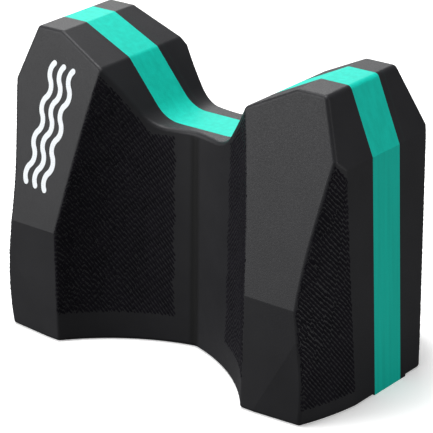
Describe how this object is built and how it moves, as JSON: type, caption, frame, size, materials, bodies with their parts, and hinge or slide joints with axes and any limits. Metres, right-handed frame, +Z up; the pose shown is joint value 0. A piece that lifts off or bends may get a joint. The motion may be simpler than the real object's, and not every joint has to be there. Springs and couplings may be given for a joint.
{
  "type": "pull buoy",
  "caption": "Hourglass foam float with two hollow thigh faces and a coloured middle layer, held between the thighs so that the legs float in swim training.",
  "frame": {"origin": "middle of the flat base that the buoy stands on", "axes": "+X from lobe to lobe along the length, +Y through the layers from the printed front to the rear, +Z up from the base to the crests"},
  "size_m": [0.22, 0.1233, 0.1645],
  "materials": {
    "black_foam": "charcoal closed-cell EVA foam with a satin moulded skin",
    "colour_foam": "turquoise closed-cell EVA foam, matte cut edges",
    "adhesive": "dried contact adhesive, dark and dull",
    "print_ink": "pale matte screen-print ink"
  },
  "bodies": {
    "root": {"front_float_block": "black_foam", "front_bond_film": "adhesive", "coloured_centre_sheet": "colour_foam", "centre_bond_film": "adhesive", "rear_backing_sheet": "black_foam", "rear_bond_film": "adhesive", "rear_float_block": "black_foam", "printed_wave_mark": "print_ink"}
  },
  "joints": []
}
